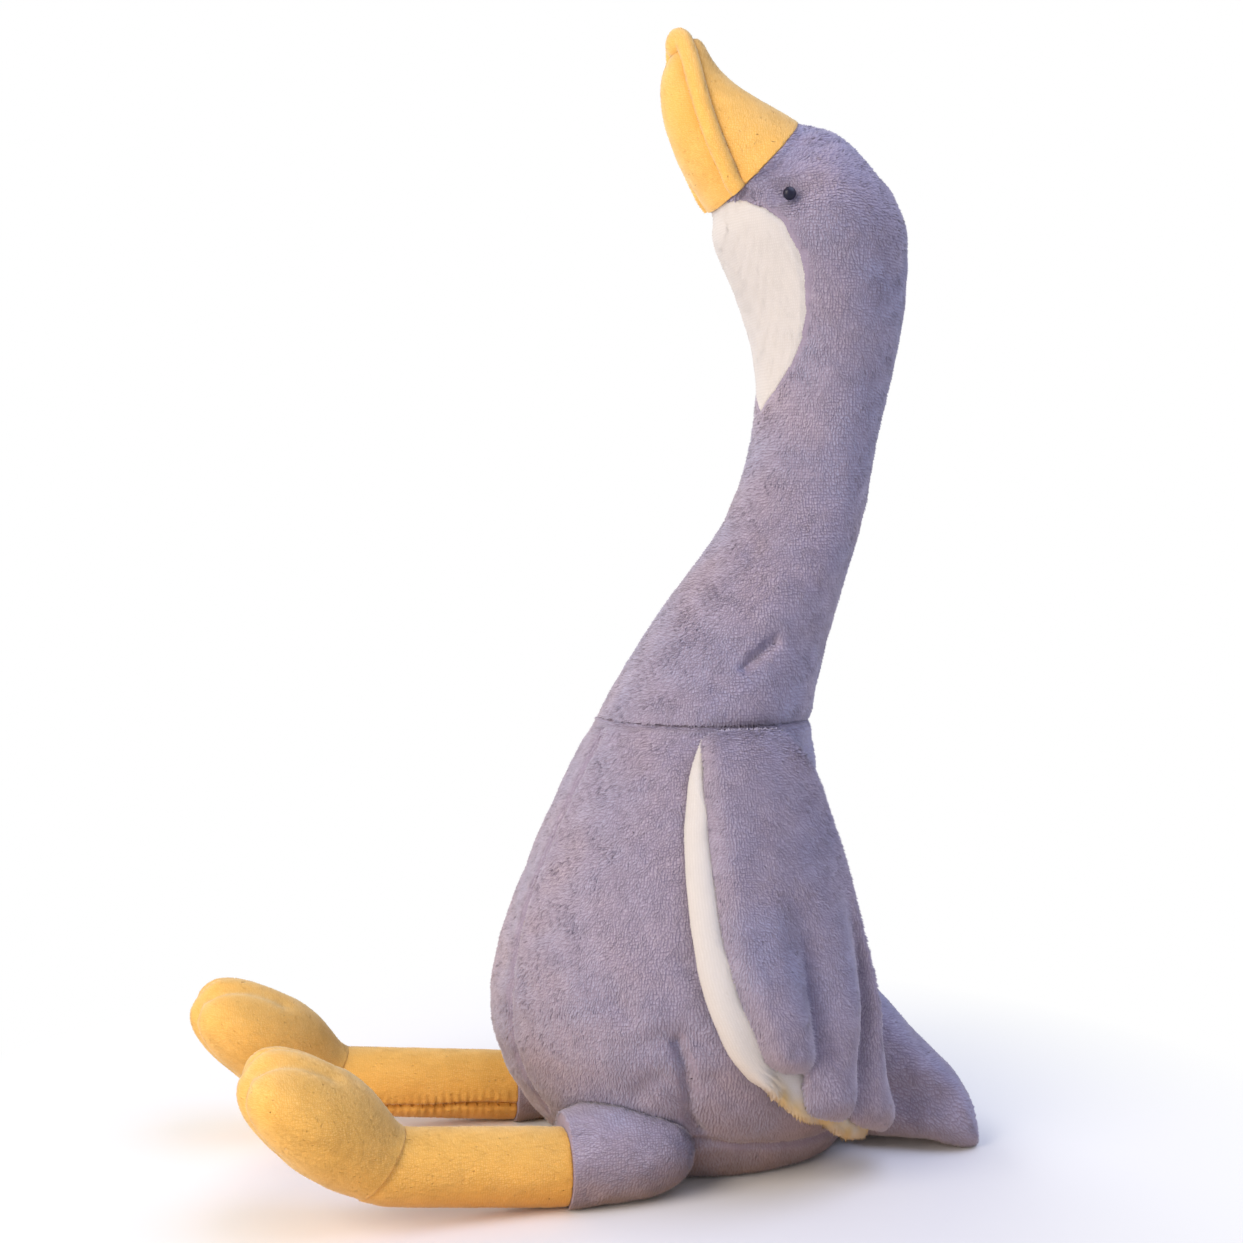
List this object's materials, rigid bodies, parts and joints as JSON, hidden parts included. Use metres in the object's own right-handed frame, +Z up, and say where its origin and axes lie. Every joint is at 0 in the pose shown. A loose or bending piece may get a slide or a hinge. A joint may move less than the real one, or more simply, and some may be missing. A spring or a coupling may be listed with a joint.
{
  "type": "plush goose",
  "caption": "Sitting plush goose with a long neck, raised bill, white throat, hanging two-layer wings, a wedge tail and straight legs with webbed feet.",
  "frame": {"origin": "on the flat of the seat, on the goose's middle plane, at the height of the surface it sits on", "axes": "+Z up from the seat to the bill, -Y the way the goose faces, +X towards its left side"},
  "size_m": [0.1766, 0.3321, 0.4759],
  "materials": {
    "lilac_plush": "short-pile polyester plush, lilac-grey, matt with a soft pale sheen at its edges",
    "white_plush": "short-pile polyester plush, warm white, matt",
    "yellow_plush": "very short clipped pile, warm yellow, matt with a pale sheen",
    "black_bead": "polished navy-black moulded bead"
  },
  "bodies": {
    "root": {"body": "lilac_plush", "neck_and_head": "lilac_plush", "throat_patch": "white_plush", "upper_bill": "yellow_plush", "lower_bill": "yellow_plush", "eye_left": "black_bead", "eye_right": "black_bead", "wing_left_outer": "lilac_plush", "wing_left_lining": "white_plush", "wing_right_outer": "lilac_plush", "wing_right_lining": "white_plush", "tail": "lilac_plush", "thigh_left": "lilac_plush", "thigh_right": "lilac_plush", "leg_left": "yellow_plush", "leg_right": "yellow_plush", "foot_left": "yellow_plush", "foot_right": "yellow_plush"}
  },
  "joints": []
}
